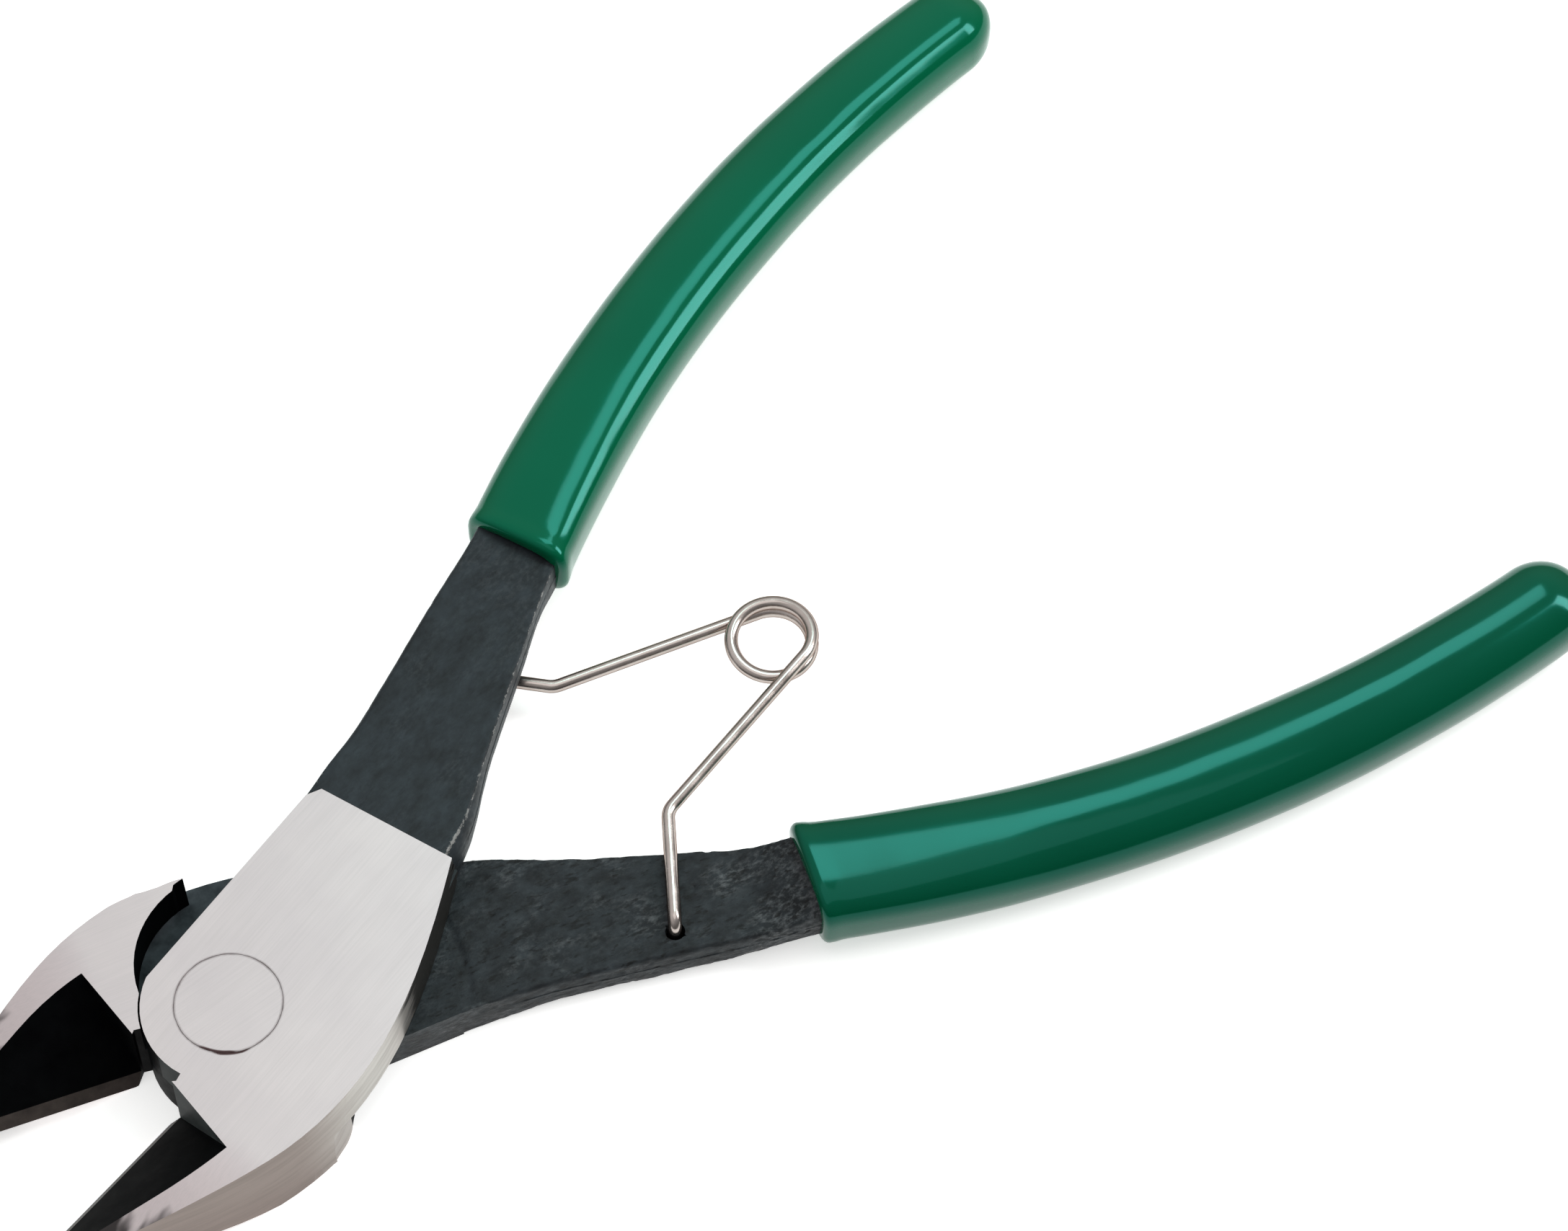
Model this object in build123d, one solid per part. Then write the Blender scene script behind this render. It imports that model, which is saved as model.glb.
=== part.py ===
from build123d import *
import os
from math import asin, atan2, cos, degrees, hypot, pi, radians, sin, sqrt

os.makedirs("parts", exist_ok=True)

# Diagonal cutting pliers with a lap joint, a flush rivet, a wire return spring and dipped grips.
# The tool lies flat: the rivet's axis is Z, the jaws point along +X and the head rests on Z = 0.
# Each lever is drawn with the jaws shut, about the middle plane of the head, and then turned
# open. Shut, the cutting edges meet on Y = 0 and the top lever's jaw lies on the +Y side.

# Driving sizes of the head, in millimetres and degrees
HEAD_THICK = 10.0
HALF_OPEN = 14.5
LAP_GAP = 0.1
BOSS_R = 8.85
BOSS_CLEARANCE = 0.2
BOSS_END_ANGLE = 6.8
THROAT_NOTCH = (9.65, 1.2)
THROAT_X = 10.7
NECK_Y = 8.45
NECK_CORNER = (-24.4, -7.6)
NECK_CHAMFER = 1.5
END_WALL_X = 9.4
TIP_X = 31.5
TIP_HALF_WIDTH = 2.3
EDGE_GAP = 0.02
SIDE_FLARE = 0.6

# The outer side of a lever, shut, from the crotch past the shoulder to the jaw's tip
SIDE_POINTS = [(-26.0, 8.0), (-12.0, 13.65), (-1.0, 15.7), (9.0, 14.6), (18.4, 10.6)]

# The milled lap: where its wall leaves the circle round the boss, and the jaw's rounded shoulder
LAP_ARC_ANGLE = 31.5
LAP_BEND = (5.0, 11.2)
SHOULDER = (-1.0, 14.4)
SHOULDER_ROUND = (1.8, 14.9)
SHOULDER_SIDE = (4.0, 15.55)

# The cutting edges: their first point, the climb of the ground underside, and the two bevels
EDGE_X = 11.0
UNDERSIDE_RISE = 0.171
LAND_WIDTH = 0.85
LAND_HEIGHT = 1.47
BEVEL_SLOPES = {1: 0.93, -1: 0.99}
TOP_FALL_X = 11.0
TOP_FALL_R = 34.0
TOP_FALL_SLOPE = 0.27

# The rivet
RIVET_HEAD_R = 5.45
RIVET_SHANK_R = 3.6
RIVET_CONE = 2.0
RIVET_PLAY = 0.05

# Middle line of a handle: straight to the bend, then one long arc, by distance back from the rivet
BEND_U = 58.0
ARC_TOP_U = 107.0
ARC_TOP_Y = 16.95
ARC_R = 167.4

# The bare shank: how far its two edges lie from the middle line, at distances back from the rivet
SHANK_START = -20.0
SHANK_INNER = [(27.0, 7.8), (36.0, 6.6), (47.0, 5.76), (58.0, 4.9), (74.0, 4.8)]
SHANK_OUTER = [(36.0, 7.5), (45.0, 6.25), (58.0, 4.9), (74.0, 4.8)]
SHANK_CROTCH_Y = 9.9
SHANK_NECK_X = -26.3
SHANK_THICK = 4.3
SHANK_LIFT = 0.15
JOGGLE = (50.0, 66.0)
FORGE_CHAMFER = 0.8
FLASH_STEP = 0.3
FLASH_HALF = 0.45

# The tang inside the grip
TANG_WIDTHS = [(60.0, 4.85), (99.0, 4.15), (138.0, 3.4)]
TANG_THICK = 5.4
TANG_SHOULDER = 0.1
TANG_CHAMFER = 0.9

# The grips
GRIP_STARTS = {1: 59.9, -1: 58.9}
GRIP_WIDTHS = [(56.0, 5.85), (98.0, 5.65), (142.5, 5.1)]
GRIP_HALF_THICK = 4.75
GRIP_CORNER = 3.4
GRIP_END_REACH = 5.1
CUFF_CHAMFER = 0.5

# The return spring
WIRE_R = 0.7
WIRE_SIDES = 10
HOOK_U = 44.7
HOOK_Y = 9.1
HOOK_HOLE_R = 1.05
HOOK_HOLE_DEPTH = 3.5
HOOK_REACH = 2.3
HOOK_BEND_R = 1.2
LEG_Z = 1.25
COIL_U = 70.0
COIL_R = 4.25
LEG_BENDS = {1: (49.3, 10.65), -1: (48.6, 9.35)}
BEND_R = 2.2
LEG_SHORT = 0.05

HALF = HEAD_THICK / 2
CLEAR = 3.0
WIDE = 22.0


def mid_slope(u):
    run = ARC_TOP_U - max(u, BEND_U)
    return run / sqrt(ARC_R ** 2 - run ** 2)


def mid_y(u):
    run = ARC_TOP_U - max(u, BEND_U)
    on_arc = ARC_TOP_Y - ARC_R + sqrt(ARC_R ** 2 - run ** 2)
    return on_arc + min(u - BEND_U, 0.0) * mid_slope(u)


# A point beside a handle's middle line; a positive offset is on the side of the other handle
def beside(u, offset):
    slope = mid_slope(u)
    step = offset / hypot(1, slope)
    return (-u - step * slope, -mid_y(u) + step)


# Plan of a bar that follows the middle line, its edges two arcs through three widths; a positive
# reach rounds its end off that far past them
def bar_plan(widths, reach=0):
    inner = [beside(u, half) for u, half in widths]
    outer = [beside(u, -half) for u, half in widths]
    end = Line(inner[-1], outer[-1])
    if reach:
        end = ThreePointArc(inner[-1], beside(widths[-1][0] + reach, 0), outer[-1])
    edges = [ThreePointArc(*inner), end, ThreePointArc(*reversed(outer)), Line(outer[0], inner[0])]
    return make_face(edges)


# Plan of the bare shank: the neck's straight edge bends into it, and it spreads at the crotch;
# inset draws its edges that much further in
def shank_plan(inset):
    neck_y = inset - NECK_Y
    inner = [(SHANK_START, SHANK_CROTCH_Y - inset)] + [beside(u, half - inset) for u, half in SHANK_INNER]
    outer = [(SHANK_START, neck_y), (SHANK_NECK_X, neck_y)]
    outer += [beside(u, inset - half) for u, half in SHANK_OUTER]
    edges = [Spline(*inner), Line(inner[-1], outer[-1]), Spline(*reversed(outer)), Line(outer[0], inner[0])]
    return make_face(edges)


# An S of two arcs, by which one face of the shank steps over to the height of the tang's face
def joggle_curve(before, after):
    start, end = -JOGGLE[0], -JOGGLE[1]
    step = after - before
    turn = ((start + end) / 2, (before + after) / 2)
    first = ((start + turn[0]) / 2, before + step / 8)
    second = ((turn[0] + end) / 2, after - step / 8)
    return [ThreePointArc((start, before), first, turn), ThreePointArc(turn, second, (end, after))]


# Everything between two heights: each is a pair, along the shank and at the tang
def height_band(low, high):
    head, bend, end = SHANK_START + 1, -JOGGLE[0], -JOGGLE[1]
    edges = [
        Line((head, high[0]), (bend, high[0])), *joggle_curve(*high),
        Line((end, high[1]), (end, low[1])), *joggle_curve(*low),
        Polyline((bend, low[0]), (head, low[0]), (head, high[0])),
    ]
    return extrude(Plane.XZ * make_face(edges), 2 * WIDE, both=True)


# The drop-forged handle: shank with eased corners, the trimmed flash round it, and the tang
def forged_handle():
    low, high = SHANK_LIFT, SHANK_LIFT + SHANK_THICK
    tang_half = TANG_THICK / 2
    middle = (low + high) / 2
    body = Pos(0, 0, -HALF) * extrude(shank_plan(FLASH_STEP), HEAD_THICK)
    body &= height_band((low, -tang_half), (high, tang_half))
    cross = body.edges().filter_by(Axis.Y) + body.edges().filter_by(Axis.Z)
    body = chamfer(body.edges() - cross, FORGE_CHAMFER)
    flash = Pos(0, 0, -HALF) * extrude(shank_plan(0), HEAD_THICK)
    flash &= height_band((middle - FLASH_HALF, -FLASH_HALF), (middle + FLASH_HALF, FLASH_HALF))
    tang = extrude(bar_plan(TANG_WIDTHS), tang_half - TANG_SHOULDER, both=True)
    tang = chamfer(tang.edges() - tang.edges().filter_by(Axis.Z), TANG_CHAMFER)
    return body + flash + tang


# Dipped sleeve: a rounded bar that follows the handle, with a domed end and a square front
def grip_blank(start):
    blank = extrude(bar_plan(GRIP_WIDTHS, GRIP_END_REACH), GRIP_HALF_THICK, both=True)
    front = blank.faces().sort_by(Axis.X)[-1].edges()
    blank = fillet(blank.edges() - blank.edges().filter_by(Axis.Z) - front, GRIP_CORNER)
    blank -= Pos(-start + WIDE / 2, -mid_y(start), 0) * Box(WIDE, 2 * WIDE, WIDE)
    return chamfer(blank.faces().sort_by(Axis.X)[-1].edges(), CUFF_CHAMFER)


# Plan of the head and jaw of one lever, shut, jaw on +Y; flare moves its outer side out
def head_outline(flare):
    neck_x = sqrt(BOSS_R ** 2 - NECK_Y ** 2)
    boss_low = (BOSS_R * cos(-pi / 5), BOSS_R * sin(-pi / 5))
    boss_end = (BOSS_R * cos(radians(BOSS_END_ANGLE)), BOSS_R * sin(radians(BOSS_END_ANGLE)))
    neck_end = (NECK_CORNER[0] + NECK_CHAMFER, -NECK_Y)
    tip = (TIP_X, TIP_HALF_WIDTH + flare)
    side = [(x, y + flare) for x, y in SIDE_POINTS]
    edges = [
        Line(neck_end, (neck_x, -NECK_Y)),
        ThreePointArc((neck_x, -NECK_Y), boss_low, boss_end),
        Polyline(boss_end, THROAT_NOTCH, (THROAT_X, EDGE_GAP), (TIP_X, EDGE_GAP), tip),
        Spline(tip, *reversed(side)),
        Polyline(side[0], NECK_CORNER, neck_end),
    ]
    return make_face(edges)


# The head is a thick plate, and its ground outer side flares a little towards the underside
def head_blank():
    low = Pos(0, 0, -HALF) * head_outline(SIDE_FLARE)
    high = Pos(0, 0, HALF) * head_outline(0)
    return loft([low, high], ruled=True)


# Plan of what is milled off one half of the head, so that the other lever's lap turns in it;
# lift moves the rounded end of the jaw's shoulder out with the flared side
def lap_pocket(lift):
    r = BOSS_R + BOSS_CLEARANCE
    turn = radians(LAP_ARC_ANGLE)
    arc_end = (r * cos(turn), r * sin(turn))
    arc_mid = (r * cos(turn / 2), r * sin(turn / 2))
    round_end = (SHOULDER_ROUND[0], SHOULDER_ROUND[1] + lift)
    side_end = (SHOULDER_SIDE[0], SHOULDER_SIDE[1] + lift)
    edges = [
        ThreePointArc((r, 0), arc_mid, arc_end),
        ThreePointArc(arc_end, LAP_BEND, SHOULDER),
        Polyline(SHOULDER, round_end, side_end, (side_end[0], WIDE)),
        Polyline((side_end[0], WIDE), (-2 * WIDE, WIDE), (-2 * WIDE, -WIDE), (r, -WIDE), (r, 0)),
    ]
    return make_face(edges)


# The milled bevel: a narrow steep land at the cutting edge, then the broad slope to the top face
def bevel_cutter(slope):
    start = EDGE_X - 5
    edge_z = -HALF + UNDERSIDE_RISE * (start - EDGE_X)
    land = (LAND_WIDTH, edge_z + LAND_HEIGHT)
    far = (land[0] + WIDE, land[1] + WIDE * slope)
    profile = Polyline((EDGE_GAP, edge_z), land, far, (-CLEAR, far[1]), (-CLEAR, edge_z), close=True)
    face = Plane(origin=(start, 0, 0), x_dir=(0, 1, 0), z_dir=(1, 0, 0)) * make_face(profile)
    prism = extrude(face, TIP_X, dir=(1, 0, UNDERSIDE_RISE))
    wall = Rot(0, 0, -HALF_OPEN) * Pos(END_WALL_X + TIP_X, 0, 0) * Box(2 * TIP_X, 4 * WIDE, 4 * WIDE)
    return prism & wall


# What is ground off above the jaws and below them, towards the tip
def tip_cutters():
    run = TOP_FALL_R * TOP_FALL_SLOPE
    end_x = TIP_X + CLEAR
    start = (TOP_FALL_X, HALF)
    middle = (TOP_FALL_X + run / 2, HALF - run ** 2 / (8 * TOP_FALL_R))
    turn = (TOP_FALL_X + run, HALF - run ** 2 / (2 * TOP_FALL_R))
    last = (end_x, turn[1] - TOP_FALL_SLOPE * (end_x - turn[0]))
    top = HALF + CLEAR
    over = [ThreePointArc(start, middle, turn), Polyline(turn, last, (end_x, top), (start[0], top), start)]
    low = -HALF + UNDERSIDE_RISE * (end_x - EDGE_X)
    under = Polyline((EDGE_X, -HALF), (end_x, low), (end_x, -top), (EDGE_X, -top), close=True)
    above = extrude(Plane.XZ * make_face(over), WIDE, both=True)
    below = extrude(Plane.XZ * make_face(under), WIDE, both=True)
    return above, below


# Rivet with countersunk heads, ground flush with both faces; play widens the hole it turns in
def rivet(play):
    cone = RIVET_CONE
    profile = Polyline(
        (0, -HALF), (RIVET_HEAD_R + play, -HALF), (RIVET_SHANK_R + play, -HALF + cone),
        (RIVET_SHANK_R + play, HALF - cone), (RIVET_HEAD_R + play, HALF), (0, HALF), close=True)
    return revolve(Plane.XZ * make_face(profile), Axis.Z)


# One lever, shut, with its jaw on +Y; lap is 1 when its lap half is the upper one, else -1
def lever(lap):
    lift = 0.75 * SIDE_FLARE if lap > 0 else 0
    pocket = Pos(0, 0, lap * LAP_GAP / 2) * extrude(lap_pocket(lift), -lap * (HALF + 1))
    above, below = tip_cutters()
    body = head_blank() - pocket - bevel_cutter(BEVEL_SLOPES[lap]) - above - below
    hole = Pos(-HOOK_U, -HOOK_Y, lap * HOOK_HOLE_DEPTH / 2) * Cylinder(HOOK_HOLE_R, HOOK_HOLE_DEPTH)
    return body + handles[lap] - hole


# Places a part drawn shut at rest: the top lever's side turned open, or its mirror image
def at_rest(shape, lap):
    if lap < 0:
        shape = mirror(shape, about=Plane.XZ)
    return Pos(0, 0, HALF) * Rot(0, 0, lap * HALF_OPEN) * shape


# The spring at rest: one leg's points, from the hook to where it runs into the coil
def rest_point(u, y):
    a = radians(HALF_OPEN)
    return (-(u * cos(a) - y * sin(a)), -(u * sin(a) + y * cos(a)))


def tangent_point(bend):
    dx, dy = -COIL_U - bend[0], -bend[1]
    away = hypot(dx, dy)
    side = asin(COIL_R / away)
    heading = atan2(dy, dx) + side
    run = away * cos(side)
    return (bend[0] + run * cos(heading), bend[1] + run * sin(heading)), heading


# The wire is round; its section is drawn with flats to keep the model light
def wire_section():
    return RegularPolygon(WIRE_R, WIRE_SIDES)


# The top lever's leg lies below the lap plane and hooks up; the other lies above and hooks down
def spring_leg(lap):
    hook = rest_point(HOOK_U, HOOK_Y)
    bend = (-LEG_BENDS[lap][0], -LEG_BENDS[lap][1])
    end, heading = tangent_point(bend)
    stop = (end[0] - LEG_SHORT * cos(heading), end[1] - LEG_SHORT * sin(heading))
    z = -LEG_Z
    points = [(*hook, HOOK_REACH), (*hook, z), (*bend, z), (*stop, z)]
    path = FilletPolyline(*points, radius=[HOOK_BEND_R, BEND_R])
    start = Plane(origin=points[0], z_dir=(0, 0, -1))
    leg = sweep(start * wire_section(), path=path)
    if lap < 0:
        leg = Rot(180, 0, 0) * leg
    return Pos(0, 0, HALF) * leg


# Where a leg meets the coil, as an angle about the coil's middle, drawn as the top lever's leg
def meeting_angle(lap):
    end, heading = tangent_point((-LEG_BENDS[lap][0], -LEG_BENDS[lap][1]))
    return degrees(atan2(end[1], end[0] + COIL_U))


# The coil: each leg runs into a flat stretch, and a half turn tilts over from one to the other
def spring_coil():
    first = meeting_angle(1)
    whole = 720 - abs(first) - abs(meeting_angle(-1))
    flat = (whole - 180) / 2
    before, after = radians(first - flat), radians(first - flat - 180)
    across = radians(first - flat - 90)
    tilted_r = hypot(COIL_R, LEG_Z)
    start = (COIL_R * cos(before), COIL_R * sin(before), -LEG_Z)
    middle = (tilted_r * cos(across), tilted_r * sin(across), 0)
    end = (COIL_R * cos(after), COIL_R * sin(after), LEG_Z)
    low = CenterArc((0, 0, -LEG_Z), COIL_R, first, -flat)
    high = CenterArc((0, 0, LEG_Z), COIL_R, first - flat - 180, -flat)
    path = Wire([low, ThreePointArc(start, middle, end), high])
    section = Plane(origin=path @ 0, z_dir=path % 0) * wire_section()
    return Pos(-COIL_U, 0, HALF) * sweep(section, path=path)


handle = forged_handle()
handles = {1: handle, -1: mirror(handle, about=Plane.XY)}
pieces = {
    "top_lever": at_rest(lever(1) - rivet(RIVET_PLAY), 1),
    "bottom_lever": at_rest(lever(-1) - rivet(0), -1),
    "pivot_rivet": Pos(0, 0, HALF) * rivet(0),
    "top_grip": at_rest(grip_blank(GRIP_STARTS[1]) - handles[1], 1),
    "bottom_grip": at_rest(grip_blank(GRIP_STARTS[-1]) - handles[-1], -1),
    "spring_top_leg": spring_leg(1),
    "spring_bottom_leg": spring_leg(-1),
    "spring_coil": spring_coil(),
}

for name, piece in pieces.items():
    export_step(piece, f"parts/{name}.step")
    print(name, "volume", round(piece.volume, 1), "box", piece.bounding_box())
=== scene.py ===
from math import atan2, cos, hypot, pi, radians, sin, sqrt

import bmesh
import bpy
import numpy as np
from mathutils import Matrix, Vector, noise


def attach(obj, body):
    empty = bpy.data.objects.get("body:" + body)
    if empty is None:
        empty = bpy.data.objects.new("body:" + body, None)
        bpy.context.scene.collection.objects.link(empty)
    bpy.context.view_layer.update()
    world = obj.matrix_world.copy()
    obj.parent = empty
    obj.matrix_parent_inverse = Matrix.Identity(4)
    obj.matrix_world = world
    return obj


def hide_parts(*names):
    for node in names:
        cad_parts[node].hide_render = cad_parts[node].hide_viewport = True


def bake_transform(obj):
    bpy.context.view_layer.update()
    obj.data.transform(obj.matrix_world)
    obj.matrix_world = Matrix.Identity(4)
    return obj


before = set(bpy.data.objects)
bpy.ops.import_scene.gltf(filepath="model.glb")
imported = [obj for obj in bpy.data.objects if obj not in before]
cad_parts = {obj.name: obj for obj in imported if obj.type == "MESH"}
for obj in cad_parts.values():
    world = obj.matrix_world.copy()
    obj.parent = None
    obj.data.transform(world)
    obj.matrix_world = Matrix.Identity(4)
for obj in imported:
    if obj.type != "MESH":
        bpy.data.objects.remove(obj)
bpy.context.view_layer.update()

# The set: a camera half a metre above the bench, a pale opal table that is lit from below, and soft
# boxes overhead. It stands for a plain studio table, so that only the tool has any colour. The sky
# grows brighter with height and is darker on the camera's side.
MM = 0.001
CAMERA_MM = (99.935, 209.305, 481.804)
CAMERA_AIM_MM = (-72.925, -1.513, 5.0)
CAMERA_LENS = 120.0
CAMERA_NEAR_MM = 10.0
TABLE_SIDE_MM = 6000.0
TABLE_TONE = "#f4f4f3"
TABLE_GLOW = 0.6
TABLE_ROUGHNESS = 0.85
SKY_TONE = "#ffffff"
SKY_LOW = 0.22
SKY_HIGH = 0.8
SKY_FAR_SIDE = 1.1
SKY_NEAR_SIDE = 0.4


def linear(hex_tone):
    parts = [int(hex_tone[i:i + 2], 16) / 255 for i in (1, 3, 5)]
    return tuple(p / 12.92 if p <= 0.04045 else ((p + 0.055) / 1.055) ** 2.4 for p in parts) + (1.0,)


def add(tree, kind, settings, sockets):
    """Adds one node; greys are the stops of a ramp. A socket takes a value, a tone in hex, another
    node's output, or the node itself, which stands for the first output that it has in use."""
    made = tree.nodes.new("ShaderNode" + kind)
    for key, value in settings.items():
        if key == "greys":
            for stop, (at, grey) in zip(made.color_ramp.elements, value):
                stop.position = at
                stop.color = (grey, grey, grey, 1)
        else:
            setattr(made, key, value)
    for key, value in sockets.items():
        if isinstance(value, bpy.types.Node):
            value = next(output for output in value.outputs if output.enabled)
        if isinstance(value, bpy.types.NodeSocket):
            tree.links.new(value, made.inputs[key])
        else:
            made.inputs[key].default_value = linear(value) if isinstance(value, str) else value
    return made


def new_material(name):
    """A material with no nodes yet, and its node tree."""
    material = bpy.data.materials.new(name)
    material.use_nodes = True
    material.node_tree.nodes.clear()
    return material, material.node_tree


def lay(obj):
    bpy.context.scene.collection.objects.link(obj)
    return obj


camera = lay(bpy.data.objects.new("camera", bpy.data.cameras.new("camera")))
camera.data.lens = CAMERA_LENS
camera.data.clip_start = CAMERA_NEAR_MM * MM
camera.location = Vector(CAMERA_MM) * MM
camera.rotation_euler = (Vector(CAMERA_AIM_MM) - Vector(CAMERA_MM)).to_track_quat("-Z", "Y").to_euler()
bpy.context.scene.camera = camera
bpy.context.scene.view_settings.view_transform = "Standard"

sky = bpy.data.worlds.new("studio")
sky.use_nodes = True
sky.node_tree.nodes.clear()
sky_place = add(sky.node_tree, "TexCoord", {}, {}).outputs["Generated"]
direction = add(sky.node_tree, "SeparateXYZ", {}, {"Vector": sky_place})
level = add(sky.node_tree, "MapRange", {"interpolation_type": "SMOOTHSTEP"}, {
    "Value": direction.outputs["Z"], "From Min": 0.0, "From Max": 0.75,
    "To Min": SKY_LOW, "To Max": SKY_HIGH})
shade = add(sky.node_tree, "MapRange", {}, {
    "Value": direction.outputs["Y"], "From Min": -0.5, "From Max": 0.7,
    "To Min": SKY_FAR_SIDE, "To Max": SKY_NEAR_SIDE})
shaded_level = add(sky.node_tree, "Math", {"operation": "MULTIPLY"}, {0: level, 1: shade})
glow = add(sky.node_tree, "Background", {}, {"Color": SKY_TONE, "Strength": shaded_level})
add(sky.node_tree, "OutputWorld", {}, {"Surface": glow})
bpy.context.scene.world = sky

corner = TABLE_SIDE_MM * MM / 2
table_mesh = bpy.data.meshes.new("table")
table_corners = [(-corner, -corner, 0), (corner, -corner, 0), (corner, corner, 0), (-corner, corner, 0)]
table_mesh.from_pydata(table_corners, [], [(0, 1, 2, 3)])
table = lay(bpy.data.objects.new("table", table_mesh))
opal, opal_tree = new_material("opal_acrylic_table")
opal_skin = add(opal_tree, "BsdfPrincipled", {}, {
    "Base Color": TABLE_TONE, "Roughness": TABLE_ROUGHNESS, "Specular IOR Level": 0.1,
    "Emission Color": TABLE_TONE, "Emission Strength": TABLE_GLOW})
add(opal_tree, "OutputMaterial", {}, {"Surface": opal_skin})
table_mesh.materials.append(opal)

# Each soft box: its name and tone, its place and aim in millimetres, its long direction, length,
# width and watts. The strip over the handles is faintly tinted, and draws a teal line on the grips.
SOFT_BOXES = [
    ("overhead_box", "#ffffff", (-40, 60, 620), (-40, 0, 0), (1, 0, 0), 420, 420, 0.42),
    ("handle_strip", "#d0fffb", (-272, -120, 440), (-95, 40, 10), (-0.968, 0.25, 0), 200, 120, 0.45),
    ("near_strip", "#ffffff", (-395, 167, 306), (-120, -44, 10), (-0.966, -0.257, 0), 110, 280, 1.15),
]
for box_name, tone, place, aim, along, long, wide, watts in SOFT_BOXES:
    lamp = bpy.data.lights.new(box_name, "AREA")
    lamp.shape = "RECTANGLE"
    lamp.size = long * MM
    lamp.size_y = wide * MM
    lamp.energy = watts
    lamp.color = linear(tone)[:3]
    box = lay(bpy.data.objects.new(box_name, lamp))
    back = (Vector(place) - Vector(aim)).normalized()
    side = (Vector(along) - back * back.dot(Vector(along))).normalized()
    turn = Matrix((side, back.cross(side), back)).transposed().to_4x4()
    box.matrix_world = Matrix.Translation(Vector(place) * MM) @ turn

# The two levers: each is one drop forging of carbon steel, blackened all over after forging. The
# head is then ground bright on its faces and flanks, and the lap and the cutting bevels are milled,
# so the steel shows bright only where a wheel has passed. The shank keeps its black forged skin.

# Both are drawn with the jaws shut, in millimetres about the middle of the head, then turned open.
# lap is 1 for the top lever and -1 for the bottom one. The bottom one is drawn as a mirror image,
# and values that differ are given under 1 and -1. u is the distance behind the rivet.
HALF_HEAD = 5.0
OPEN_ANGLE = 14.5
RIVET_R = 5.45
SHARP_ANGLE = 28.0

# The curve that a handle's middle follows: straight as far as the bend, then a round bow.
BEND_U = 58.0
ARC_TOP_U = 107.0
ARC_TOP_Y = 16.95
ARC_R = 167.4


def smooth(a, b, x):
    """Rises from nought at a to one at b, and stays level before and after."""
    t = min(max((x - a) / (b - a), 0.0), 1.0)
    return t * t * (3 - 2 * t)


def mid_slope(u):
    run = ARC_TOP_U - max(u, BEND_U)
    return run / sqrt(ARC_R ** 2 - run ** 2)


def mid_y(u):
    run = ARC_TOP_U - max(u, BEND_U)
    on_arc = ARC_TOP_Y - ARC_R + sqrt(ARC_R ** 2 - run ** 2)
    return on_arc + min(u - BEND_U, 0.0) * mid_slope(u)


def beside(u, offset):
    """The point that lies this far to the side of the handle's middle."""
    slope = mid_slope(u)
    step = offset / hypot(1, slope)
    return (-u - step * slope, -mid_y(u) + step)


def through(points, x):
    """Height at x of a smooth curve through points that are in order of falling x."""
    k = 0
    while k < len(points) - 2 and x < points[k + 1][0]:
        k += 1
    (x0, y0), (x1, y1) = points[k], points[k + 1]
    before, after = points[max(k - 1, 0)], points[min(k + 2, len(points) - 1)]
    slope_in = (y1 - before[1]) / (x1 - before[0])
    slope_out = (after[1] - y0) / (after[0] - x0)
    run = x1 - x0
    t = (x - x0) / run
    return ((2 * t ** 3 - 3 * t ** 2 + 1) * y0 + (t ** 3 - 2 * t ** 2 + t) * run * slope_in
            + (3 * t ** 2 - 2 * t ** 3) * y1 + (t ** 3 - t ** 2) * run * slope_out)


def turned_open(lap):
    mirror = Matrix.Diagonal((1, lap, 1, 1))
    return Matrix.Scale(MM, 4) @ Matrix.Translation((0, 0, HALF_HEAD)) @ Matrix.Rotation(
        radians(lap * OPEN_ANGLE), 4, "Z") @ mirror


# The head: the wheel leaves its outer edges broken by a tenth of a millimetre, but the cutting edge
# and the rivet's bore stay keen. The ground face stops at a slanted line across the neck. The
# shoulder swells, and the crescent's tip stands up, since both were dressed by hand on the wheel.
HEAD_ENDS = {1: [(-24.4, -7.6), (-26.0, 8.0)], -1: [(-21.6, -7.6), (-25.3, 8.0)]}
HEAD_OVERLAP = 0.012
WELD = 0.002
CUT_SLACK = 1e-4
FLAT_SLACK = 0.6
FLOOR_END_X = -11.5
FLOOR_Z = 0.5
SHOULDER_CUTS = np.arange(-1.0, 7.5, 0.5)
SHOULDER_WALL_Y = 12.5
SHOULDER_WALL_STEEP = 0.4
SHOULDER_LAP_Z = 0.02
SHOULDER_RIM_Y = 14.05
SHOULDER_SWELL = 0.4
SHOULDER_RISE = (-1.2, 1.0)
SHOULDER_FALL = (1.4, 4.6)
CRESCENT_RAISE = 0.5
CRESCENT_TIP = (-0.6, 3.0)
CRESCENT_CUT = 0.25
CRESCENT_CUT_START = (2.0, 4.0)
CRESCENT_CUT_END = (4.0, 7.2)
EDGE_EASE = 0.11
EASED_ANGLE = 24.0
KEEN_X = 9.0
KEEN_Y = 0.6
BORE_EDGE_R = RIVET_R + 0.2
BORE_WALL_R = RIVET_R + 0.3

# Where each finish of the head begins and ends, by the place of a face and by how far it faces up.
FLAT = 0.93
BORE_STEEP = 0.9
BEVEL_RISE = 0.6
UPRIGHT = 0.3
FACE_Z = 4.9
NECK_X = -20.0
BEVEL_X = 8.5
END_WALL_X = 25.0
END_WALL_FACING = 0.8
TIP_X = 31.0
FLANK_FACING = 0.25
FLANK_STARTS = [(20.0, 2.0), (-2.0, 9.6), (-100.0, 7.0)]
POCKET_R = 14.9
OXIDE_Y = -8.0
OXIDE_X = -22.0


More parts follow.
